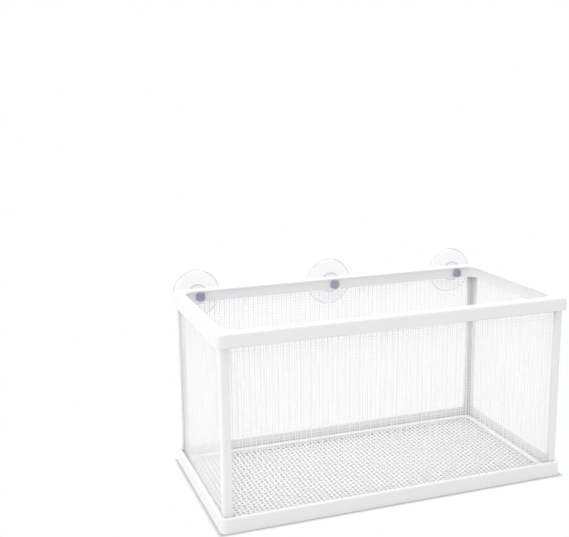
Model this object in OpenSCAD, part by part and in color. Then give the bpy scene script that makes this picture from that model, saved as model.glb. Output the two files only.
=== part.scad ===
// Net breeding box for a fish tank: two moulded frames held apart by four corner posts,
// a net bag clamped between them, and three suction cups through the back of the top frame.
// All lengths are in millimetres. +Z is up, the suction cups face +Y.

/* [Box] */
// Length over the frames
box_l = 268; // [200:1:340]
// Width over the frames
box_w = 133; // [100:1:180]
// Height from the table to the top of the rim
box_h = 140; // [100:1:200]
// Outer corner radius of both frames, seen from above
corner_r = 5; // [5:0.5:8]
// Wall thickness of both frames
wall_t = 3; // [2:0.5:4]

/* [Top rim] */
// Height of the rim's outer skirt
skirt_h = 10; // [9:0.5:15]
// Thickness of the rim's top flange
flange_t = 2; // [1.5:0.5:3]
// Rounding of the rim's upper outer edge
rim_edge_r = 2.2; // [1:0.1:2.8]
// How much the skirt leans in towards the top
rim_draft = 0.5; // [0:0.1:1]
// Corner radius of the opening at the clamp ring's lip
opening_r = 10; // [6:0.5:18]

/* [Bottom ring] */
// Height of the bottom ring's wall
ring_h = 11; // [8:0.5:16]
// Rounding of the ring's upper outer edge
ring_edge_r = 1.4; // [0.5:0.1:1.8]
// How much the ring's wall leans in towards the top
ring_draft = 0.5; // [0:0.1:1]
// Width of the ledge inside the wall
ledge_w = 6.5; // [5:0.5:10]
// Thickness of the ledge
ledge_t = 1.2; // [1:0.1:2]
// Height of the ledge's underside over the table, so that the ring stands on its wall
ledge_lift = 1.2; // [0.5:0.1:2.5]
// Corner radius of the opening in the ledge
ledge_r = 6; // [3:0.5:12]

/* [Clamps] */
// Thickness of the clamp ring's wall under the top rim
clamp_t = 1.3; // [1:0.1:2]
// How far the clamp ring's lip stands in from its wall
lip_w = 1.15; // [0.5:0.05:3]
// Height of the lip
lip_t = 1.5; // [1.2:0.1:1.6]
// How far the lip's top lies below the rim's top
lip_step = 0.6; // [0.2:0.1:1]
// Width of the flat frame that holds the floor net down
floor_clamp_w = 4.4; // [3:0.1:6]
// Thickness of that frame
floor_clamp_t = 1.5; // [1:0.1:2.5]

/* [Small edges] */
// Rounding of the lip's inner edge
lip_edge_r = 0.5; // [0.3:0.1:0.6]
// Break of the frames' small edges
edge_break = 0.4; // [0.2:0.1:0.6]
// Break of the bottom ring's foot edge
foot_break = 0.6; // [0.3:0.1:0.8]

/* [Posts] */
// Width of each leg of an L-shaped corner post
post_leg = 6.5; // [5:0.5:10]
// Thickness of the post
post_t = 1.8; // [1:0.1:2.5]
// Thickness of the ribs that stop a post from sliding along the wall
stop_t = 1.2; // [0.8:0.1:2]

/* [Net] */
// Thickness of the net panels
net_t = 0.5; // [0.3:0.1:0.8]
// Spacing of the net's threads
net_pitch = 17.5; // [15:0.5:25]
// Width of a thread
thread_w = 1.2; // [0.8:0.1:2]
// Width of the plain edge round each panel
net_edge = 2; // [1:0.5:4]

/* [Suction cups] */
// Outer diameter of a suction cup
cup_d = 38; // [32:0.5:44]
// Height of a cup from the rim's back face to its sticking face
cup_h = 6.5; // [6:0.5:10]
// Depth of the hollow in the cup
cup_hollow = 4.2; // [3:0.1:4.5]
// Thickness of the cup at its crown
cup_crown = 1.2; // [0.8:0.1:1.4]
// Width of the flat sticking edge
cup_face_w = 0.9; // [0.5:0.1:1.5]
// Diameter of the cup's boss against the rim
boss_d = 13; // [10:0.5:16]
// Diameter of the neck that passes through the rim
neck_d = 6; // [4:0.1:6.5]
// Diameter of the mushroom head inside the rim
head_d = 7.4; // [7:0.1:7.6]
// Length of the head
head_h = 3.4; // [2.5:0.1:5]
// Length of the head's straight end by the neck
head_barb = 0.8; // [0.5:0.1:1.2]
// Distance of the outer cups' axes from the ends of the opening's straight back side
cup_end = 4; // [4:0.5:40]
// Depth of the cups' axis below the rim's top
cup_drop = 6; // [5.9:0.1:7]

/* [Clearances] */
// Between a post and the walls and stops that hold it
post_gap = 0.05; // [0.02:0.01:0.2]
// Between the net and what stands beside it
net_gap = 0.1; // [0.05:0.05:0.3]
// Radial, between a cup's neck and its hole in the rim
neck_gap = 0.08; // [0.03:0.01:0.1]
// Radial, between a cup's neck and the holes in the clamp ring and the net
pass_gap = 0.3; // [0.2:0.1:0.5]
// Axial, between a cup and the faces that it is held against
cup_gap = 0.05; // [0.02:0.01:0.2]
// Between the top rim's flange and the clamp ring in its groove
groove_gap = 0.05; // [0.02:0.01:0.1]

/* [Hidden] */

// How far each layer of the frame lies inside the box's outer faces
post_in = wall_t + post_gap;
net_in = post_in + post_t + net_gap;
clamp_in = net_in + net_t + net_gap;
clamp_face_in = clamp_in + clamp_t;
flange_in = clamp_in + clamp_t / 2;
lip_in = clamp_face_in + lip_w;
ledge_in = wall_t + ledge_w;

// Heights
flange_z = box_h - flange_t;
skirt_z = box_h - skirt_h;
lip_top_z = box_h - lip_step;
ledge_z = ledge_lift + ledge_t;
net_z = ledge_z + net_t;
cup_z = box_h - cup_drop;

// Concentric corner radii of the clamp ring's layers
lip_outer_r = opening_r + lip_in - flange_in - groove_gap;
clamp_r = opening_r + lip_in - clamp_in;
post_r = corner_r - wall_t - post_gap;

// The outer cups' heads bear on the straight part of the clamp ring's back wall
cup_pitch = box_l / 2 - clamp_in - clamp_r - cup_end;

// Overlap of fused shapes, and how far a cut runs past the faces that it goes through
fuse = 0.2;
past = 1;

// The cups stand out at the back, so the middle of the whole lies behind the box's own middle
shift_y = -cup_h / 2;

white = "white";
net_white = "whitesmoke";
clear_pvc = "lavender";
edge_steps = 5;
$fn = 40;

// Points of a quarter circle about c, from angle a0 to a0 + 90 or a0 - 90
function quarter(c, r, a0, turn) =
    [for (k = [0:edge_steps])
        c + r * [cos(a0 + turn * 90 * k / edge_steps), sin(a0 + turn * 90 * k / edge_steps)]];

// Plan of the box drawn in by an inset on every side, with round corners
module plan(inset, r) {
    l = box_l - 2 * inset;
    w = box_w - 2 * inset;
    square([l - 2 * r, w], center = true);
    square([l, w - 2 * r], center = true);
    for (x = [-1, 1], y = [-1, 1])
        translate([x * (l / 2 - r), y * (w / 2 - r)]) circle(r);
}

// A flat plate between two plans
module plate(z, t, inset, r, inner_inset, inner_r) {
    translate([0, 0, z]) linear_extrude(t) difference() {
        plan(inset, r);
        plan(inner_inset, inner_r);
    }
}

// Sweeps a section round the box: its x runs inwards from the plan, its y is the height
module sweep_round(inset, r) {
    for (k = [0:3]) {
        ahead = (k % 2 == 0 ? box_l : box_w) / 2 - inset;
        aside = (k % 2 == 0 ? box_w : box_l) / 2 - inset;
        rotate([0, 0, 90 * k]) {
            translate([ahead, 0, 0]) rotate([90, 0, 0])
                linear_extrude(2 * (aside - r), center = true) mirror([1, 0]) children();
            translate([ahead - r, aside - r, 0])
                rotate_extrude(angle = 90) translate([r, 0]) mirror([1, 0]) children();
        }
    }
}

// Places its children at the three suction cups' axes, or at one of them, with +Z along +Y
module at_cups(which = [-1, 0, 1]) {
    for (k = which)
        translate([k * cup_pitch, box_w / 2, cup_z]) rotate([-90, 0, 0]) children();
}

// Ribs that stand beside the legs of the posts and keep them in the corners
module post_stops(z0, z1) {
    rib_in = post_in + post_leg + post_gap;
    rib_reach = post_t - net_gap;
    for (x = [-1, 1], y = [-1, 1]) {
        translate([x * (box_l / 2 - rib_in - stop_t / 2), y * (box_w / 2 - wall_t - rib_reach / 2),
                   (z0 + z1) / 2])
            cube([stop_t, rib_reach + 2 * fuse, z1 - z0], center = true);
        translate([x * (box_l / 2 - wall_t - rib_reach / 2), y * (box_w / 2 - rib_in - stop_t / 2),
                   (z0 + z1) / 2])
            cube([rib_reach + 2 * fuse, stop_t, z1 - z0], center = true);
    }
}

module skirt_section() {
    polygon(concat(
        [[wall_t, skirt_z], [wall_t, box_h], [rim_draft + rim_edge_r, box_h]],
        quarter([rim_draft + rim_edge_r, box_h - rim_edge_r], rim_edge_r, 90, 1),
        [[0, skirt_z + edge_break], [edge_break, skirt_z]]));
}

module top_rim() {
    color(white) translate([0, shift_y, 0]) difference() {
        union() {
            sweep_round(0, corner_r) skirt_section();
            plate(flange_z, flange_t, wall_t - fuse, corner_r - wall_t + fuse,
                  flange_in, lip_outer_r + groove_gap);
            post_stops(skirt_z, flange_z);
        }
        at_cups() translate([0, 0, -wall_t - past])
            cylinder(r = neck_d / 2 + neck_gap, h = wall_t + 2 * past);
    }
}

module clamp_section() {
    groove = flange_in - clamp_in + groove_gap;
    lip = lip_in - clamp_in;
    polygon(concat(
        [[0, skirt_z], [clamp_t, skirt_z], [clamp_t, lip_top_z - lip_t], [lip, lip_top_z - lip_t]],
        quarter([lip - lip_edge_r, lip_top_z - lip_edge_r], lip_edge_r, 0, 1),
        [[groove, lip_top_z], [groove, flange_z], [0, flange_z]]));
}

module top_clamp_ring() {
    color(white) translate([0, shift_y, 0]) difference() {
        sweep_round(clamp_in, clamp_r) clamp_section();
        at_cups() translate([0, 0, -lip_in - past])
            cylinder(r = neck_d / 2 + pass_gap, h = lip_in);
    }
}

module ring_section() {
    polygon(concat(
        [[wall_t, 0], [wall_t, ring_h - edge_break], [wall_t - edge_break, ring_h],
         [ring_draft + ring_edge_r, ring_h]],
        quarter([ring_draft + ring_edge_r, ring_h - ring_edge_r], ring_edge_r, 90, 1),
        [[0, foot_break], [foot_break, 0]]));
}

module bottom_ring() {
    color(white) translate([0, shift_y, 0]) {
        sweep_round(0, corner_r) ring_section();
        plate(ledge_lift, ledge_t, wall_t - fuse, corner_r - wall_t + fuse, ledge_in, ledge_r);
        post_stops(ledge_z - fuse, ring_h - edge_break);
    }
}

module floor_clamp_frame() {
    color(white) translate([0, shift_y, 0])
        plate(net_z, floor_clamp_t, clamp_in, edge_break, clamp_in + floor_clamp_w, ledge_r);
}

// One L-shaped post in the corner on side x and side y, each -1 or 1
module post(x, y) {
    color(white) translate([0, shift_y, ledge_z]) mirror([x < 0 ? 1 : 0, 0, 0])
        mirror([0, y < 0 ? 1 : 0, 0])
        translate([box_l / 2 - post_in, box_w / 2 - post_in, 0]) rotate([0, 0, 180])
        linear_extrude(flange_z - ledge_z) intersection() {
            union() {
                square([post_leg, post_t]);
                square([post_t, post_leg]);
            }
            union() {
                translate([post_r, post_r]) circle(post_r);
                translate([post_r, 0]) square(post_leg);
                translate([0, post_r]) square(post_leg);
            }
        }
}

module post_front_left() { post(-1, -1); }
module post_front_right() { post(1, -1); }
module post_back_left() { post(-1, 1); }
module post_back_right() { post(1, 1); }

// A net panel in the XY plane from the origin: plain edges with rows of square gaps between them
module net_panel(l, w, edges) {
    span = [l - edges[0] - edges[1], w - edges[2] - edges[3]];
    count = [round(span[0] / net_pitch), round(span[1] / net_pitch)];
    step = [(span[0] + thread_w) / count[0], (span[1] + thread_w) / count[1]];
    difference() {
        square([l, w]);
        for (i = [0:count[0] - 1], j = [0:count[1] - 1])
            translate([edges[0] + i * step[0], edges[2] + j * step[1]])
                square([step[0] - thread_w, step[1] - thread_w]);
    }
}

// The long panels reach over the ends of the short ones; their top bands go up inside the rim
net_l = box_l - 2 * net_in;
net_w = box_w - 2 * (net_in + net_t);
net_h = flange_z - net_z;
net_band = skirt_h - flange_t + net_edge;

module long_net() {
    translate([-net_l / 2, 0, net_z]) rotate([90, 0, 0]) linear_extrude(net_t)
        net_panel(net_l, net_h, [net_edge + net_t, net_edge + net_t,
                                 net_edge + floor_clamp_t, net_band]);
}

module short_net() {
    translate([0, -net_w / 2, net_z]) rotate([90, 0, 90]) linear_extrude(net_t)
        net_panel(net_w, net_h, [net_edge, net_edge, net_edge + floor_clamp_t, net_band]);
}

module net_front() {
    color(net_white) translate([0, shift_y + net_in + net_t - box_w / 2, 0]) long_net();
}

module net_back() {
    color(net_white) translate([0, shift_y, 0]) difference() {
        translate([0, box_w / 2 - net_in, 0]) long_net();
        at_cups() translate([0, 0, -lip_in - past])
            cylinder(r = neck_d / 2 + pass_gap, h = lip_in, $fn = 24);
    }
}

module net_left() {
    color(net_white) translate([net_in - box_l / 2, shift_y, 0]) short_net();
}

module net_right() {
    color(net_white) translate([box_l / 2 - net_in - net_t, shift_y, 0]) short_net();
}

module net_floor() {
    floor_l = box_l - 2 * net_in;
    floor_w = box_w - 2 * net_in;
    border = clamp_in + floor_clamp_w - net_in;
    color(net_white) translate([-floor_l / 2, shift_y - floor_w / 2, ledge_z]) linear_extrude(net_t)
        net_panel(floor_l, floor_w, [border, border, border, border]);
}

// Points of an ellipse quarter about [0, z], from angle a0 to a1 in the quadrant below z
function bowl(z, r, depth, a0, a1, steps) =
    [for (k = [0:steps]) let (a = a0 + (a1 - a0) * k / steps) [r * cos(a), z - depth * sin(a)]];

// Half section of a suction cup: x is the radius, y the distance out of the rim's back face
module cup_section() {
    cup_r = cup_d / 2;
    head_r = head_d / 2;
    neck_r = neck_d / 2;
    boss_r = boss_d / 2;
    neck_end = -clamp_face_in - cup_gap;
    polygon(concat(
        bowl(neck_end - head_barb, head_r, head_h - head_barb, 90, 0, 5),
        [[head_r - edge_break, neck_end], [neck_r, neck_end], [neck_r, cup_gap],
         [boss_r - edge_break, cup_gap], [boss_r, cup_gap + edge_break]],
        bowl(cup_h, cup_r, cup_hollow + cup_crown, acos(boss_r / cup_r), 0, 7),
        bowl(cup_h, cup_r - cup_face_w, cup_hollow, 0, 90, 7)));
}

module suction_cup(k) {
    color(clear_pvc, 0.5) translate([0, shift_y, 0]) at_cups([k])
        rotate_extrude($fn = 32) cup_section();
}

module suction_cup_left() { suction_cup(-1); }
module suction_cup_middle() { suction_cup(0); }
module suction_cup_right() { suction_cup(1); }

top_rim();
top_clamp_ring();
bottom_ring();
floor_clamp_frame();
post_front_left();
post_front_right();
post_back_left();
post_back_right();
net_front();
net_back();
net_left();
net_right();
net_floor();
suction_cup_left();
suction_cup_middle();
suction_cup_right();
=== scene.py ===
"""The looks of a net breeding box for a fish tank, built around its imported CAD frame. Metres, +Z up."""

import math

import bpy
import numpy as np
from mathutils import Matrix, Vector

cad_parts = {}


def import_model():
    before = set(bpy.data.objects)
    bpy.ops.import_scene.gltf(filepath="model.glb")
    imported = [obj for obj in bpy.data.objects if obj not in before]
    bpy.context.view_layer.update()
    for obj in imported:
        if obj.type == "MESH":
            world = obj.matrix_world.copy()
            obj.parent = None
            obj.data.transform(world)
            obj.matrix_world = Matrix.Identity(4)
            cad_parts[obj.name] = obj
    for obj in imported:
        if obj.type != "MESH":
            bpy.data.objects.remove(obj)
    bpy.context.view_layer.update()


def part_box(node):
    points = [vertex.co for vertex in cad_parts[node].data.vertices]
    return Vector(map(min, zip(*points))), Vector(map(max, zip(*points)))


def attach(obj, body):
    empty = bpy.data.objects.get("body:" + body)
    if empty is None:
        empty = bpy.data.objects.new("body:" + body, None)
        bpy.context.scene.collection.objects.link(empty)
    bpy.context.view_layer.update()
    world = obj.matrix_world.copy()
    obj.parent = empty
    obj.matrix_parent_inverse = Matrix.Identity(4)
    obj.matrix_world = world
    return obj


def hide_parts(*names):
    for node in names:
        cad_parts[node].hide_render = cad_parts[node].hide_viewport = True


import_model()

MM = 0.001

# The photograph's frame and its camera, in the row frame
PHOTO_W = 569
FOCAL_PX = 926.1
CAMERA_AT = (-0.2789, -0.62205, 0.3049)
CAMERA_YAW = 19.18
CAMERA_PITCH = 12.11
CAMERA_ROLL = -0.75

# The box over its frames, from the CAD
rim_low, rim_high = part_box("top_rim")
BOX_L = (rim_high.x - rim_low.x) / MM
BOX_W = (rim_high.y - rim_low.y) / MM
BOX_H = rim_high.z / MM
BOX_Y = (rim_high.y + rim_low.y) / 2 / MM
SKIRT_Z = rim_low.z / MM
RING_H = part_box("bottom_ring")[1].z / MM
LEDGE_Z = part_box("net_floor")[0].z / MM
NET_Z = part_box("net_floor")[1].z / MM
FLOOR_CLAMP_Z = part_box("floor_clamp_frame")[1].z / MM
NET_TOP_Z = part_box("net_front")[1].z / MM

# Corner radius and layers of the frames, as insets from the box's outer faces, in mm
CORNER_R = 5.0
WALL_IN = 3.0
POST_IN = (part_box("post_front_left")[0].x - rim_low.x) / MM
POST_T = 1.8
POST_LEG = 6.5
NET_IN = (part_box("net_left")[0].x - rim_low.x) / MM
NET_T = (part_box("net_left")[1].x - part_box("net_left")[0].x) / MM
CLAMP_IN = (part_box("top_clamp_ring")[0].x - rim_low.x) / MM
CLAMP_FACE_IN = CLAMP_IN + 1.3
FLANGE_IN = CLAMP_IN + 0.65
LIP_IN = CLAMP_FACE_IN + 1.15
LEDGE_IN = 9.5
LEDGE_R = 6.0
LEDGE_T = 1.2
FLOOR_CLAMP_IN = CLAMP_IN + 4.4
LIP_R = 10.0
FLANGE_T = 2.0
STOP_T = 1.2
STOP_REACH = 1.7
STOP_GAP = 0.05
LIP_DROP = 0.6
LIP_T = 1.5

# The suction cups, in mm: y is counted from the rim's back face
CUP_X = (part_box("suction_cup_right")[0].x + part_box("suction_cup_right")[1].x) / 2 / MM
CUP_Z = (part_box("suction_cup_right")[0].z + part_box("suction_cup_right")[1].z) / 2 / MM
CUP_R = (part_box("suction_cup_right")[1].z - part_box("suction_cup_right")[0].z) / 2 / MM
CUP_H = 6.5
CUP_HOLLOW = 4.2
CUP_CROWN = 1.2
CUP_FACE_W = 0.9
BOSS_R = 6.5
NECK_R = 3.0
NECK_HOLE_R = 3.08
PASS_HOLE_R = 3.3
HEAD_R = 3.7
HEAD_H = 3.4
HEAD_BARB = 0.8

# The floor, in m: half its side, its drop below the box, and where beside the box it turns to white
FLOOR_HALF = 6.0
FLOOR_DROP = 0.0001
WHITE_FROM = -0.0015
WHITE_BY = 0.0035

# The wall nets' weave, in mm: heavy and light pillars in turn, crossed by fine picks
PILLAR_PITCH = 2.0
PICK_PITCH = 2.35
PILLAR_R = (0.31, 0.13)
PICK_R = 0.13

# The floor net's coarser mesh, in mm: thick pillars joined by bridges in a brick pattern
FLOOR_PITCH = 3.55
BRIDGE_PITCH = 2.2
FLOOR_R = 0.68
BRIDGE_R = 0.55
FLOOR_SWAY = 0.3

# The share of the direct light that passes each wall of a net thread, to brighten the inside
KNIT_SHARE = 0.7


def make_object(name, mesh):
    """A new object of a mesh, in the scene, with smooth shading."""
    o = bpy.data.objects.new(name, mesh)
    bpy.context.scene.collection.objects.link(o)
    mesh.polygons.foreach_set("use_smooth", np.ones(len(mesh.polygons), bool))
    mesh.update()
    return o


def grid_mesh(name, points, wrap_rows, wrap_columns):
    """A mesh of quads over an array of points, rows by columns by 3, in mm."""
    rows, columns = points.shape[:2]
    index = np.arange(rows * columns).reshape(rows, columns)
    i = np.arange(rows if wrap_rows else rows - 1)
    j = np.arange(columns if wrap_columns else columns - 1)
    a = index[i][:, j]
    b = index[i][:, (j + 1) % columns]
    c = index[(i + 1) % rows][:, (j + 1) % columns]
    d = index[(i + 1) % rows][:, j]
    quads = np.stack([a, b, c, d], -1).reshape(-1, 4)
    mesh = bpy.data.meshes.new(name)
    mesh.from_pydata((points.reshape(-1, 3) * MM).tolist(), [], quads.tolist())
    return mesh


def rounded(outline, steps=5):
    """An outline of (x, y, fillet radius, carried value) as a closed list of (x, y, carried value)."""
    out = []
    n = len(outline)
    for i in range(n):
        before, here, after = (np.array(outline[(i + k) % n], float) for k in (-1, 0, 1))
        back, ahead = before[:2] - here[:2], after[:2] - here[:2]
        back_l, ahead_l = np.linalg.norm(back), np.linalg.norm(ahead)
        back, ahead = back / back_l, ahead / ahead_l
        half = math.acos(float(np.clip(back @ ahead, -1, 1))) / 2
        reach = min(here[2] / math.tan(half), 0.48 * back_l, 0.48 * ahead_l)
        middle = back + ahead
        centre = here[:2] + middle / np.linalg.norm(middle) * reach / math.cos(half)
        start, end = here[:2] + back * reach - centre, here[:2] + ahead * reach - centre
        carried = (
            here[3] + (before[3] - here[3]) * reach / back_l,
            here[3] + (after[3] - here[3]) * reach / ahead_l,
        )
        turn = math.pi - 2 * half
        for k in range(steps + 1):
            s = k / steps
            p = centre + (
                start * math.sin((1 - s) * turn) + end * math.sin(s * turn)
            ) / math.sin(turn)
            out.append((p[0], p[1], carried[0] + (carried[1] - carried[0]) * s))
    return out


def sweep(name, section, corner_steps=10, straight_steps=8):
    """A closed moulded ring round the box, from a section.

    The section is a list of (inset, height, fillet radius, plan corner radius), in mm.
    """
    lines = []
    for inset, z, r in rounded(section):
        x, y = BOX_L / 2 - inset - r, BOX_W / 2 - inset - r
        line = []
        for k, (sx, sy) in enumerate(((1, 1), (-1, 1), (-1, -1), (1, -1))):
            for j in range(corner_steps + 1):
                angle = math.radians(90 * (k + j / corner_steps))
                line.append((sx * x + r * math.cos(angle), sy * y + r * math.sin(angle), z))
            here = np.array(line[-1])
            there = here + ((-2 * x, 0, 0), (0, -2 * y, 0), (2 * x, 0, 0), (0, 2 * y, 0))[k]
            for j in range(1, straight_steps):
                line.append(tuple(here + (there - here) * j / straight_steps))
        lines.append(line)
    points = np.array(lines) + (0, BOX_Y, 0)
    return make_object(name, grid_mesh(name, points, True, True))


def capped(name, points):
    """An object of stacked rings, an array of rings by points by 3 in mm, with both ends closed."""
    tube = grid_mesh(name, points, False, True)
    count = points.shape[1]
    total = points.shape[0] * count
    verts = [tuple(v.co) for v in tube.vertices]
    faces = [tuple(p.vertices) for p in tube.polygons]
    faces.append(tuple(range(count - 1, -1, -1)))
    faces.append(tuple(range(total - count, total)))
    closed = bpy.data.meshes.new(name)
    closed.from_pydata(verts, [], faces)
    bpy.data.meshes.remove(tube)
    return make_object(name, closed)


def prism(name, outline, z0, z1, steps=1):
    """An upright prism of a closed outline of (x, y) in mm, with flat ends."""
    heights = np.linspace(z0, z1, steps + 1)
    return capped(name, np.array([[(p[0], p[1], z) for p in outline] for z in heights]))


def box_piece(name, low, high):
    """A small upright block between two corners, in mm."""
    x0, y0, z0 = low
    x1, y1, z1 = high
    corners = ((x0, y0, 0.15, 0), (x1, y0, 0.15, 0), (x1, y1, 0.15, 0), (x0, y1, 0.15, 0))
    return prism(name, rounded(corners, 2), z0, z1)


def peg(name, x, y0, y1, z, r, sides=48):
    """A cylinder along Y in mm, as a cutter for a hole."""
    angles = np.arange(sides) / sides * 2 * math.pi
    points = np.array(
        [[(x + r * math.cos(a), y, z + r * math.sin(a)) for a in angles] for y in (y0, y1)]
    )
    return capped(name, points)


def combine(target, others, operation):
    """Fuses other closed meshes with the target, or cuts them out of it, and removes them."""
    for other in others:
        m = target.modifiers.new("form", "BOOLEAN")
        m.object = other
        m.operation = operation
        m.solver = "EXACT"
    bpy.context.view_layer.update()
    seen = target.evaluated_get(bpy.context.evaluated_depsgraph_get())
    mesh = bpy.data.meshes.new_from_object(seen)
    target.modifiers.clear()
    target.data = mesh
    for other in others:
        bpy.data.objects.remove(other)


def even_normals(o):
    """Flat faces stay flat beside their rounded edges."""
    m = o.modifiers.new("even", "WEIGHTED_NORMAL")
    m.mode = "FACE_AREA"
    m.weight = 100
    m.keep_sharp = True


def dress(o, body, node, material):
    """Gives a piece its material and body, and hides the CAD node that it stands for."""
    o.data.materials.clear()
    o.data.materials.append(material)
    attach(o, body)
    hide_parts(node)


def new_material(name):
    """An empty node material, with a function that adds a node and one that links two sockets."""
    material = bpy.data.materials.new(name)
    material.use_nodes = True
    tree = material.node_tree
    tree.nodes.clear()

    def add(kind, **settings):
        node = tree.nodes.new(kind)
        for key, value in settings.items():
            if hasattr(node, key):
                setattr(node, key, value)
            else:
                node.inputs[key].default_value = value
        return node

    return material, add, tree.links.new


def white_plastic():
    """Satin moulded polymer: faint cloudiness in colour and gloss, and a very fine orange peel."""
    material, add, link = new_material("white_plastic")
    where = add("ShaderNodeTexCoord").outputs["Object"]
    clouds = add("ShaderNodeTexNoise", Scale=22.0, Detail=3.0, Roughness=0.5)
    link(where, clouds.inputs["Vector"])
    tint = add("ShaderNodeMix", data_type="RGBA")
    tint.inputs["A"].default_value = (0.77, 0.77, 0.782, 1)
    tint.inputs["B"].default_value = (0.795, 0.795, 0.805, 1)
    link(clouds.outputs["Fac"], tint.inputs["Factor"])
    gloss = add("ShaderNodeMapRange")
    gloss.inputs["To Min"].default_value = 0.3
    gloss.inputs["To Max"].default_value = 0.42
    link(clouds.outputs["Fac"], gloss.inputs["Value"])
    peel = add("ShaderNodeTexNoise", Scale=900.0, Detail=2.0, Roughness=0.5)
    link(where, peel.inputs["Vector"])
    bump = add("ShaderNodeBump", Strength=0.06, Distance=0.0001)
    link(peel.outputs["Fac"], bump.inputs["Height"])
    shader = add("ShaderNodeBsdfPrincipled")
    shader.inputs["IOR"].default_value = 1.5
    link(tint.outputs["Result"], shader.inputs["Base Color"])
    link(gloss.outputs["Result"], shader.inputs["Roughness"])
    link(bump.outputs["Normal"], shader.inputs["Normal"])
    out = add("ShaderNodeOutputMaterial")
    link(shader.outputs["BSDF"], out.inputs["Surface"])
    return material


def net_thread():
    """White knitted yarn: fine diagonal fibres, lit partly from behind, partly open to direct light."""
    material, add, link = new_material("net_thread")
    where = add("ShaderNodeTexCoord").outputs["Object"]
    fibres = add("ShaderNodeTexWave", Scale=900.0, Distortion=3.0, Detail=2.0)
    fibres.wave_type = "BANDS"
    fibres.bands_direction = "DIAGONAL"
    link(where, fibres.inputs["Vector"])
    blotches = add("ShaderNodeTexNoise", Scale=160.0, Detail=2.0)
    link(where, blotches.inputs["Vector"])
    tint = add("ShaderNodeMix", data_type="RGBA")
    tint.inputs["A"].default_value = (0.93, 0.93, 0.935, 1)
    tint.inputs["B"].default_value = (0.97, 0.97, 0.97, 1)
    link(blotches.outputs["Fac"], tint.inputs["Factor"])
    bump = add("ShaderNodeBump", Strength=0.35, Distance=0.0001)
    link(fibres.outputs["Fac"], bump.inputs["Height"])
    shader = add("ShaderNodeBsdfPrincipled", Roughness=0.55)
    shader.inputs["Sheen Weight"].default_value = 0.15
    link(tint.outputs["Result"], shader.inputs["Base Color"])
    link(bump.outputs["Normal"], shader.inputs["Normal"])
    through = add("ShaderNodeBsdfTranslucent", Color=(0.95, 0.95, 0.95, 1))
    mix = add("ShaderNodeMixShader", Fac=0.35)
    link(shader.outputs["BSDF"], mix.inputs[1])
    link(through.outputs["BSDF"], mix.inputs[2])
    passing = add("ShaderNodeBsdfTransparent", Color=(0.98, 0.98, 0.98, 1))
    rays = add("ShaderNodeLightPath")
    share = add("ShaderNodeMath", operation="MULTIPLY")
    share.inputs[1].default_value = KNIT_SHARE
    link(rays.outputs["Is Shadow Ray"], share.inputs[0])
    knit = add("ShaderNodeMixShader")
    link(share.outputs["Value"], knit.inputs["Fac"])
    link(mix.outputs["Shader"], knit.inputs[1])
    link(passing.outputs["BSDF"], knit.inputs[2])
    out = add("ShaderNodeOutputMaterial")
    link(knit.outputs["Shader"], out.inputs["Surface"])
    return material


def clear_pvc():
    """Soft clear PVC: violet grey in the middle, a painted dark grey ring round the boss that stands in
    for the dark look of a thicker boss's edge, almost colourless beyond.
    """
    material, add, link = new_material("clear_pvc")
    where = add("ShaderNodeTexCoord").outputs["Object"]
    ripple = add("ShaderNodeTexNoise", Scale=60.0, Detail=2.0, Roughness=0.4)
    link(where, ripple.inputs["Vector"])
    bump = add("ShaderNodeBump", Strength=0.08, Distance=0.0004)
    link(ripple.outputs["Fac"], bump.inputs["Height"])
    shader = add("ShaderNodeBsdfPrincipled", Roughness=0.04)
    axes = add("ShaderNodeVectorMath", operation="SUBTRACT")
    axes.inputs[1].default_value = (0, 0, CUP_Z * MM)
    link(where, axes.inputs[0])
    apart = add("ShaderNodeSeparateXYZ")
    link(axes.outputs["Vector"], apart.inputs["Vector"])
    beside = add("ShaderNodeMath", operation="WRAP")
    beside.inputs[1].default_value = CUP_X * MM / 2
    beside.inputs[2].default_value = -CUP_X * MM / 2
    link(apart.outputs["X"], beside.inputs[0])
    around = add("ShaderNodeCombineXYZ")
    link(beside.outputs["Value"], around.inputs["X"])
    link(apart.outputs["Z"], around.inputs["Z"])
    radius = add("ShaderNodeVectorMath", operation="LENGTH")
    link(around.outputs["Vector"], radius.inputs[0])
    ramp = add("ShaderNodeValToRGB")
    near = add("ShaderNodeMath", operation="DIVIDE")
    near.inputs[1].default_value = CUP_R * MM
    link(radius.outputs["Value"], near.inputs[0])
    link(near.outputs["Value"], ramp.inputs["Fac"])
    stops = ramp.color_ramp.elements
    stops[0].position, stops[0].color = 0.0, (0.6, 0.57, 0.74, 1)
    stops[1].position, stops[1].color = 1.0, (0.99, 0.99, 0.99, 1)
    # The grey stop at 0.4 is painted shade: a dark ring that stands in for the dark edge of a thicker
    # boss.
    for position, color in (
        (0.2, (0.7, 0.68, 0.8, 1)),
        (0.24, (0.97, 0.97, 0.98, 1)),
        (0.35, (0.95, 0.95, 0.96, 1)),
        (0.4, (0.62, 0.61, 0.67, 1)),
        (0.45, (0.98, 0.98, 0.985, 1)),
    ):
        stops.new(position).color = color
    link(ramp.outputs["Color"], shader.inputs["Base Color"])
    shader.inputs["Transmission Weight"].default_value = 1.0
    shader.inputs["IOR"].default_value = 1.45
    link(bump.outputs["Normal"], shader.inputs["Normal"])
    passing = add("ShaderNodeBsdfTransparent", Color=(0.93, 0.93, 0.95, 1))
    rays = add("ShaderNodeLightPath")
    mix = add("ShaderNodeMixShader")
    link(rays.outputs["Is Shadow Ray"], mix.inputs["Fac"])
    link(shader.outputs["BSDF"], mix.inputs[1])
    link(passing.outputs["BSDF"], mix.inputs[2])
    depth = add("ShaderNodeVolumeAbsorption", Color=(0.5, 0.47, 0.62, 1), Density=90.0)
    out = add("ShaderNodeOutputMaterial")
    link(mix.outputs["Shader"], out.inputs["Surface"])
    link(depth.outputs["Volume"], out.inputs["Volume"])
    return material


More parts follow.
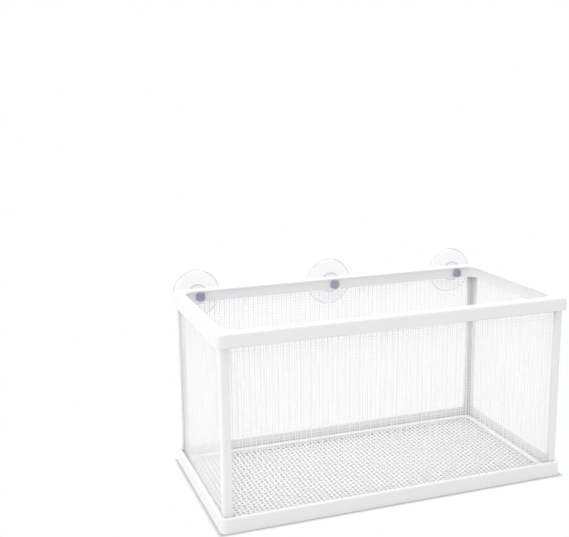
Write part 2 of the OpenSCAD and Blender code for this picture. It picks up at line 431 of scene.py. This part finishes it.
def cup_holes(y0, y1, r):
    """Cutters at the three cups' axes, between two distances in from the rim's back face."""
    back = BOX_Y + BOX_W / 2
    return [
        peg("hole", x, back - y1, back - y0, CUP_Z, r) for x in (-CUP_X, 0, CUP_X)
    ]


def stop_ribs(z0, z1):
    """The ribs beside the posts' legs, two in each corner."""
    rib_in = POST_IN + POST_LEG + STOP_GAP
    ribs = []
    for sx in (-1, 1):
        for sy in (-1, 1):
            for along_x in (True, False):
                a, b = sorted((BOX_L / 2 - rib_in, BOX_L / 2 - rib_in - STOP_T))
                c, d = BOX_W / 2 - WALL_IN - STOP_REACH, BOX_W / 2 - WALL_IN + 0.2
                if not along_x:
                    a, b = BOX_L / 2 - WALL_IN - STOP_REACH, BOX_L / 2 - WALL_IN + 0.2
                    c, d = BOX_W / 2 - rib_in - STOP_T, BOX_W / 2 - rib_in
                x0, x1 = sorted((sx * a, sx * b))
                y0, y1 = sorted((sy * c + BOX_Y, sy * d + BOX_Y))
                ribs.append(box_piece("rib", (x0, y0, z0), (x1, y1, z1)))
    return ribs


def top_rim(material):
    """The skirt and its slightly crowned flange."""
    inner_r = LIP_R + LIP_IN - FLANGE_IN + 0.05
    o = sweep(
        "top_rim_moulding",
        [
            (0.0, SKIRT_Z, 0.4, CORNER_R),
            (0.5, BOX_H - 0.25, 2.2, CORNER_R - 0.5),
            (4.3, BOX_H, 12.0, 7.0),
            (FLANGE_IN, BOX_H - 0.3, 0.4, inner_r),
            (FLANGE_IN, BOX_H - FLANGE_T, 0.15, inner_r),
            (WALL_IN, BOX_H - FLANGE_T, 0.4, CORNER_R - WALL_IN),
            (WALL_IN, SKIRT_Z, 0.3, CORNER_R - WALL_IN),
        ],
    )
    combine(o, stop_ribs(SKIRT_Z + 0.3, BOX_H - 1.9), "UNION")
    combine(o, cup_holes(-1, WALL_IN + 1, NECK_HOLE_R), "DIFFERENCE")
    even_normals(o)
    dress(o, "box", "top_rim", material)


def top_clamp_ring(material):
    """The inner ring that holds the net's top, with a lip that rounds the opening."""
    r = LIP_R + LIP_IN
    lip_top = BOX_H - LIP_DROP
    groove_in = FLANGE_IN + 0.05
    o = sweep(
        "top_clamp_moulding",
        [
            (CLAMP_IN, SKIRT_Z, 0.2, r - CLAMP_IN),
            (CLAMP_FACE_IN, SKIRT_Z, 0.3, r - CLAMP_FACE_IN),
            (CLAMP_FACE_IN, lip_top - LIP_T, 0.3, r - CLAMP_FACE_IN),
            (LIP_IN, lip_top - LIP_T, 0.4, r - LIP_IN),
            (LIP_IN, lip_top, 0.5, r - LIP_IN),
            (groove_in, lip_top, 0.35, r - groove_in),
            (groove_in, BOX_H - FLANGE_T, 0.1, r - groove_in),
            (CLAMP_IN, BOX_H - FLANGE_T, 0.1, r - CLAMP_IN),
        ],
    )
    combine(o, cup_holes(CLAMP_IN - 1, CLAMP_FACE_IN + 1, PASS_HOLE_R), "DIFFERENCE")
    even_normals(o)
    dress(o, "box", "top_clamp_ring", material)


def bottom_ring(material):
    """The low wall with a thin ledge inside, a little above the table."""
    inner_r = CORNER_R - WALL_IN
    under = LEDGE_Z - LEDGE_T
    o = sweep(
        "bottom_ring_moulding",
        [
            (0.0, 0.0, 0.6, CORNER_R),
            (0.5, RING_H, 1.4, CORNER_R - 0.5),
            (WALL_IN, RING_H, 0.45, inner_r),
            (WALL_IN, LEDGE_Z, 0.3, inner_r),
            (LEDGE_IN, LEDGE_Z, 0.2, LEDGE_R),
            (LEDGE_IN, under, 0.2, LEDGE_R),
            (WALL_IN, under, 0.3, inner_r),
            (WALL_IN, 0.0, 0.3, inner_r),
        ],
    )
    combine(o, stop_ribs(LEDGE_Z - 0.2, RING_H - 0.4), "UNION")
    even_normals(o)
    dress(o, "box", "bottom_ring", material)


def floor_clamp(material):
    """The flat frame that holds the floor net's edges down."""
    o = sweep(
        "floor_clamp_moulding",
        [
            (CLAMP_IN, NET_Z, 0.1, 0.4),
            (CLAMP_IN, FLOOR_CLAMP_Z, 0.4, 0.4),
            (FLOOR_CLAMP_IN, FLOOR_CLAMP_Z, 0.6, LEDGE_R),
            (FLOOR_CLAMP_IN, NET_Z, 0.1, LEDGE_R),
        ],
    )
    even_normals(o)
    dress(o, "box", "floor_clamp_frame", material)


def corner_post(node, sx, sy, material):
    """One L-shaped post with softened edges."""
    leg, t = POST_LEG, POST_T
    corner = ((0, 0), (leg, 0), (leg, t), (t, t), (t, leg), (0, leg))
    fillets = (1.95, 0.45, 0.45, 0.4, 0.45, 0.45)
    outline = rounded([(x, y, r, 0) for (x, y), r in zip(corner, fillets)])
    x0, y0 = BOX_L / 2 - POST_IN, BOX_W / 2 - POST_IN
    plan = [(sx * (x0 - x), BOX_Y + sy * (y0 - y)) for x, y, _ in outline]
    if sx * sy < 0:
        plan.reverse()
    o = prism(node + "_moulding", plan, LEDGE_Z, BOX_H - FLANGE_T, 6)
    even_normals(o)
    dress(o, "box", node, material)


def thread_spots(length, pitch, rng, edge=(0.7, 1.4)):
    """Thread positions over a length: even with small errors, and a dense selvedge at both ends."""
    count = round((length - 2 * edge[1] - 1) / pitch)
    inner = np.linspace(edge[1] + 0.8, length - edge[1] - 0.8, count + 1)
    inner[1:-1] += rng.normal(0, 0.03 * pitch, count - 1)
    ends = np.array([0.2, edge[0]])
    return np.concatenate([ends, inner, length - ends[::-1]])


def strands(across, normal, centres, r_across, r_normal, sides):
    """Open tubes, as many as there are rows of centres, with an elliptic section."""
    angles = np.arange(sides) / sides * 2 * math.pi
    ring = (
        np.cos(angles)[None, None, :, None] * across * np.asarray(r_across)[:, None, None, None]
        + np.sin(angles)[None, None, :, None] * normal * np.asarray(r_normal)[:, None, None, None]
    )
    return centres[:, :, None, :] + ring


def tubes_mesh(name, groups):
    """One mesh of all the strands, each group an array of strands by rings by sides by 3, in mm."""
    verts, quads, base = [], [], 0
    for g in groups:
        t, m, s = g.shape[:3]
        index = np.arange(t * m * s).reshape(t, m, s) + base
        nxt = np.roll(index, -1, axis=2)
        q = np.stack([index[:, :-1], index[:, 1:], nxt[:, 1:], nxt[:, :-1]], -1)
        quads.append(q.reshape(-1, 4))
        verts.append(g.reshape(-1, 3))
        base += t * m * s
    verts = np.concatenate(verts) * MM
    quads = np.concatenate(quads)
    mesh = bpy.data.meshes.new(name)
    mesh.vertices.add(len(verts))
    mesh.vertices.foreach_set("co", verts.astype(np.float32).ravel())
    mesh.loops.add(quads.size)
    mesh.loops.foreach_set("vertex_index", quads.astype(np.int32).ravel())
    mesh.polygons.add(len(quads))
    mesh.polygons.foreach_set("loop_start", np.arange(0, quads.size, 4, dtype=np.int32))
    mesh.update(calc_edges=True)
    mesh.validate()
    return mesh


class Panel:
    """A net panel: where a point (u, v) of it lies, with the panel's slack and a lift off its plane."""

    def __init__(self, origin, u_axis, v_axis, width, height, slack, seed):
        self.origin, self.u, self.v = (np.array(a, float) for a in (origin, u_axis, v_axis))
        self.normal = np.cross(self.u, self.v)
        self.width, self.height = width, height
        self.slack = np.array(slack)
        self.rng = np.random.default_rng(seed)
        self.waves = self.rng.uniform(-1, 1, (3, 5, 2)) * 2 * math.pi / np.array([70.0, 90.0])
        self.phases = self.rng.uniform(0, 2 * math.pi, (3, 5))

    def place(self, u, v, lift):
        """Points in space for arrays of u, v and lift."""
        rim = np.minimum.reduce(np.broadcast_arrays(u, self.width - u, v, self.height - v)) / 12
        hold = np.clip(rim, 0, 1)
        fields = [
            hold * sum(np.sin(k[0] * u + k[1] * v + p) for k, p in zip(waves, phases)) / 5
            for waves, phases in zip(self.waves, self.phases)
        ]
        du, dv, out = (s * f for s, f in zip(self.slack, fields))
        return (
            self.origin
            + (u + du)[..., None] * self.u
            + (v + dv)[..., None] * self.v
            + (out + lift)[..., None] * self.normal
        )


def finish_net(node, groups, material):
    name = node + "_weave"
    o = make_object(name, tubes_mesh(name, groups))
    dress(o, "box", node, material)


def wall_net(node, origin, u_axis, width, height, material, seed):
    """A wall of the net bag, with upright pillars."""
    panel = Panel(origin, u_axis, (0, 0, 1), width, height, (0.7, 0.5, 0.9), seed)
    rng = panel.rng
    spots = thread_spots(width, PILLAR_PITCH, rng)
    rows = np.arange(PICK_PITCH / 2, height, PICK_PITCH)
    rows = rows + rng.normal(0, 0.02 * PICK_PITCH, len(rows))

    u, v = np.meshgrid(spots, np.linspace(0, height, max(4, round(height / 5)) + 1), indexing="ij")
    pillars = panel.place(u, v, np.zeros(u.shape))
    r = np.where(np.arange(len(spots)) % 2 == 0, PILLAR_R[0], PILLAR_R[1])
    r = r * rng.uniform(0.9, 1.1, len(spots))
    side = strands(panel.u, panel.normal, pillars, r, 0.7 * r, 6)

    u, v = np.meshgrid(spots, rows, indexing="xy")
    turn = np.arange(len(spots))[None, :] + np.arange(len(rows))[:, None]
    sign = np.where(turn % 2 == 0, 1, -1)
    picks = panel.place(u, v + 0.1 * sign, 0.14 * sign)
    r = PICK_R * rng.uniform(0.9, 1.1, len(rows))
    cross = strands(panel.v, panel.normal, picks, r, 0.8 * r, 4)
    finish_net(node, [side, cross], material)


def floor_net(node, origin, width, depth, material, seed):
    """The floor of the net bag: pillars that sway to and fro, with bridges where two come close."""
    panel = Panel(origin, (1, 0, 0), (0, 1, 0), width, depth, (0.8, 0.5, 0.1), seed)
    rng = panel.rng
    count = round(width / FLOOR_PITCH)
    rows = round(depth / BRIDGE_PITCH)
    spots = np.linspace(0.7, width - 0.7, count + 1)
    steps = np.arange(2 * rows + 1) / 2
    u, v = np.meshgrid(spots, steps * depth / rows, indexing="ij")
    sway = np.cos(math.pi * (np.arange(count + 1)[:, None] + steps[None, :]))
    sway[[0, -1]] = 0
    pillars = panel.place(u + FLOOR_SWAY * sway, v, np.zeros(u.shape))
    r = FLOOR_R * rng.uniform(0.92, 1.08, count + 1)
    side = strands(panel.u, panel.normal, pillars, r, np.full(count + 1, 0.2), 6)

    k, j = np.meshgrid(np.arange(count), np.arange(1, rows), indexing="ij")
    pick = ((k + j) % 2 == 0).ravel()
    k, j = k.ravel()[pick], j.ravel()[pick]
    s = np.array([0.0, 0.5, 1.0])
    u = spots[k][:, None] + (spots[k + 1] - spots[k])[:, None] * s
    v = (j * depth / rows + rng.normal(0, 0.08, len(j)))[:, None] + 0 * s
    bridges = panel.place(u, v, 0.05 + 0 * u)
    r = BRIDGE_R * rng.uniform(0.85, 1.15, len(j))
    cross = strands(panel.v, panel.normal, bridges, r, np.full(len(j), 0.18), 6)
    finish_net(node, [side, cross], material)


def nets(material):
    """The five panels of the net bag."""
    half = NET_IN + NET_T / 2
    length, depth = BOX_L - 2 * half, BOX_W - 2 * half
    height = NET_TOP_Z - LEDGE_Z
    left, right = -length / 2, length / 2
    front, back = BOX_Y - depth / 2, BOX_Y + depth / 2
    wall_net("net_front", (left, front, LEDGE_Z), (1, 0, 0), length, height, material, 11)
    wall_net("net_back", (right, back, LEDGE_Z), (-1, 0, 0), length, height, material, 12)
    wall_net("net_left", (left, back, LEDGE_Z), (0, -1, 0), depth, height, material, 13)
    wall_net("net_right", (right, front, LEDGE_Z), (0, 1, 0), depth, height, material, 14)
    low = (left, front, LEDGE_Z + NET_T / 2)
    floor_net("net_floor", low, length, depth, material, 15)


def arc_points(z, r, depth, a0, a1, steps):
    """Points of an ellipse quarter about (0, z)."""
    angles = np.radians(np.linspace(a0, a1, steps + 1))
    return [(r * math.cos(a), z - depth * math.sin(a), 0.0) for a in angles]


def suction_cup(node, body, x, material):
    """A turned cup with its boss, neck and mushroom head in one piece."""
    neck_end = -CLAMP_FACE_IN - 0.05
    meet = math.degrees(math.acos(BOSS_R / CUP_R))
    neck = rounded(
        [
            (HEAD_R - 0.4, neck_end, 0.2, 0),
            (NECK_R, neck_end, 0.3, 0),
            (NECK_R, 0.05, 0.3, 0),
            (BOSS_R, 0.05, 0.5, 0),
        ],
        3,
    )
    profile = (
        arc_points(neck_end - HEAD_BARB, HEAD_R, HEAD_H - HEAD_BARB, 89.9, 0, 10)
        + neck
        + arc_points(CUP_H, CUP_R, CUP_HOLLOW + CUP_CROWN, meet, 2, 18)
        + [(CUP_R, CUP_H - 0.1, 0.0), (CUP_R - 0.1, CUP_H, 0.0)]
        + [(CUP_R - CUP_FACE_W, CUP_H, 0.0)]
        + arc_points(CUP_H, CUP_R - CUP_FACE_W, CUP_HOLLOW, 2, 89.9, 18)
    )
    turns = np.arange(96) / 96 * 2 * math.pi
    back = BOX_Y + BOX_W / 2
    points = np.array(
        [
            [(x + r * math.cos(a), back + y, CUP_Z + r * math.sin(a)) for a in turns]
            for r, y, _ in profile
        ]
    )
    o = make_object(node + "_pvc", grid_mesh(node + "_pvc", points[::-1], True, True))
    dress(o, body, node, material)


def stage_floor():
    """A table, white to the light; the camera sees it grey under the box, a painted shade on top of the
    shade the light casts, and plain white beside it.
    """
    material, add, link = new_material("floor")
    mesh = bpy.data.meshes.new("floor")
    r = FLOOR_HALF
    mesh.from_pydata([(-r, -r, 0), (r, -r, 0), (r, r, 0), (-r, r, 0)], [], [(0, 1, 2, 3)])
    o = make_object("floor", mesh)
    o.location.z = -FLOOR_DROP
    table = add("ShaderNodeBsdfDiffuse", Color=(0.8, 0.8, 0.8, 1))
    # Painted shade: a darker colour that only the camera sees, so the table under the box looks more
    # shadowed than the light makes it.
    painted_shade_under_box = add("ShaderNodeBsdfDiffuse", Color=(0.42, 0.42, 0.43, 1))
    white = add("ShaderNodeEmission", Color=(1, 1, 1, 1), Strength=1.0)
    place = add("ShaderNodeTexCoord")
    across = add("ShaderNodeVectorMath", operation="SUBTRACT")
    across.inputs[1].default_value = (0, BOX_Y * MM, 0)
    link(place.outputs["Object"], across.inputs[0])
    folded = add("ShaderNodeVectorMath", operation="ABSOLUTE")
    link(across.outputs["Vector"], folded.inputs[0])
    beyond = add("ShaderNodeVectorMath", operation="SUBTRACT")
    beyond.inputs[1].default_value = (BOX_L * MM / 2, BOX_W * MM / 2, 0)
    link(folded.outputs["Vector"], beyond.inputs[0])
    outside = add("ShaderNodeVectorMath", operation="MAXIMUM")
    outside.inputs[1].default_value = (0, 0, 0)
    link(beyond.outputs["Vector"], outside.inputs[0])
    distance = add("ShaderNodeVectorMath", operation="LENGTH")
    link(outside.outputs["Vector"], distance.inputs[0])
    far = add("ShaderNodeMapRange", interpolation_type="SMOOTHSTEP")
    far.inputs["From Min"].default_value = WHITE_FROM
    far.inputs["From Max"].default_value = WHITE_BY
    link(distance.outputs["Value"], far.inputs["Value"])
    seen = add("ShaderNodeMixShader")
    link(far.outputs["Result"], seen.inputs["Fac"])
    link(painted_shade_under_box.outputs["BSDF"], seen.inputs[1])
    link(white.outputs["Emission"], seen.inputs[2])
    rays = add("ShaderNodeLightPath")
    direct = add("ShaderNodeMath", operation="MAXIMUM")
    link(rays.outputs["Is Camera Ray"], direct.inputs[0])
    link(rays.outputs["Is Transmission Ray"], direct.inputs[1])
    mix = add("ShaderNodeMixShader")
    link(direct.outputs["Value"], mix.inputs["Fac"])
    link(table.outputs["BSDF"], mix.inputs[1])
    link(seen.outputs["Shader"], mix.inputs[2])
    out = add("ShaderNodeOutputMaterial")
    link(mix.outputs["Shader"], out.inputs["Surface"])
    material.cycles.emission_sampling = "NONE"
    mesh.materials.append(material)


def world():
    """White where the camera, gloss and glass see it, and a softer fill for the light on the object."""
    sky = bpy.data.worlds.new("world")
    bpy.context.scene.world = sky
    sky.use_nodes = True
    tree = sky.node_tree
    tree.nodes.clear()
    rays = tree.nodes.new("ShaderNodeLightPath")
    some = tree.nodes.new("ShaderNodeMath")
    some.operation = "MAXIMUM"
    more = tree.nodes.new("ShaderNodeMath")
    more.operation = "MAXIMUM"
    tree.links.new(rays.outputs["Is Camera Ray"], some.inputs[0])
    tree.links.new(rays.outputs["Is Glossy Ray"], some.inputs[1])
    tree.links.new(some.outputs[0], more.inputs[0])
    tree.links.new(rays.outputs["Is Transmission Ray"], more.inputs[1])
    fill = tree.nodes.new("ShaderNodeBackground")
    fill.inputs["Strength"].default_value = 0.86
    white = tree.nodes.new("ShaderNodeBackground")
    white.inputs["Strength"].default_value = 1.0
    for node in (fill, white):
        node.inputs["Color"].default_value = (1, 1, 1, 1)
    mix = tree.nodes.new("ShaderNodeMixShader")
    out = tree.nodes.new("ShaderNodeOutputWorld")
    tree.links.new(more.outputs[0], mix.inputs["Fac"])
    tree.links.new(fill.outputs[0], mix.inputs[1])
    tree.links.new(white.outputs[0], mix.inputs[2])
    tree.links.new(mix.outputs[0], out.inputs["Surface"])


def lamp(name, direction, distance, side, value):
    """A square area lamp that aims at the box; value is how white it makes a card that faces it."""
    target = Vector((0, BOX_Y * MM, BOX_H * MM / 2))
    away = Vector(direction).normalized()
    light = bpy.data.lights.new(name, "AREA")
    light.shape = "SQUARE"
    light.size = side
    light.energy = value * math.pi**2 * distance**2
    o = bpy.data.objects.new(name, light)
    bpy.context.scene.collection.objects.link(o)
    o.location = target + away * distance
    o.rotation_mode = "QUATERNION"
    o.rotation_quaternion = away.to_track_quat("Z", "Y")


def camera():
    """The photograph's camera."""
    yaw, pitch, roll = (math.radians(a) for a in (CAMERA_YAW, CAMERA_PITCH, CAMERA_ROLL))
    ahead = Vector(
        (math.sin(yaw) * math.cos(pitch), math.cos(yaw) * math.cos(pitch), -math.sin(pitch))
    )
    right = Vector((math.cos(yaw), -math.sin(yaw), 0))
    up = right.cross(ahead)
    x = right * math.cos(roll) + up * math.sin(roll)
    y = up * math.cos(roll) - right * math.sin(roll)
    data = bpy.data.cameras.new("camera")
    data.sensor_width = 36
    data.lens = FOCAL_PX / PHOTO_W * data.sensor_width
    data.clip_start = 0.01
    o = bpy.data.objects.new("camera", data)
    bpy.context.scene.collection.objects.link(o)
    turned = Matrix((x, y, -ahead)).transposed().to_4x4()
    o.matrix_world = Matrix.Translation(CAMERA_AT) @ turned
    bpy.context.scene.camera = o


bpy.context.scene.view_settings.view_transform = "Standard"
camera()
world()
lamp("key", direction=(-0.9, -0.15, 0.4), distance=1.6, side=1.2, value=0.26)
lamp("top", direction=(0.1, 0.1, 1), distance=1.6, side=1.6, value=0.66)
stage_floor()

plastic = white_plastic()
top_rim(plastic)
top_clamp_ring(plastic)
bottom_ring(plastic)
floor_clamp(plastic)
corner_post("post_front_left", -1, -1, plastic)
corner_post("post_front_right", 1, -1, plastic)
corner_post("post_back_left", -1, 1, plastic)
corner_post("post_back_right", 1, 1, plastic)
nets(net_thread())
pvc = clear_pvc()
suction_cup("suction_cup_left", "cup_left", -CUP_X, pvc)
suction_cup("suction_cup_middle", "cup_middle", 0, pvc)
suction_cup("suction_cup_right", "cup_right", CUP_X, pvc)
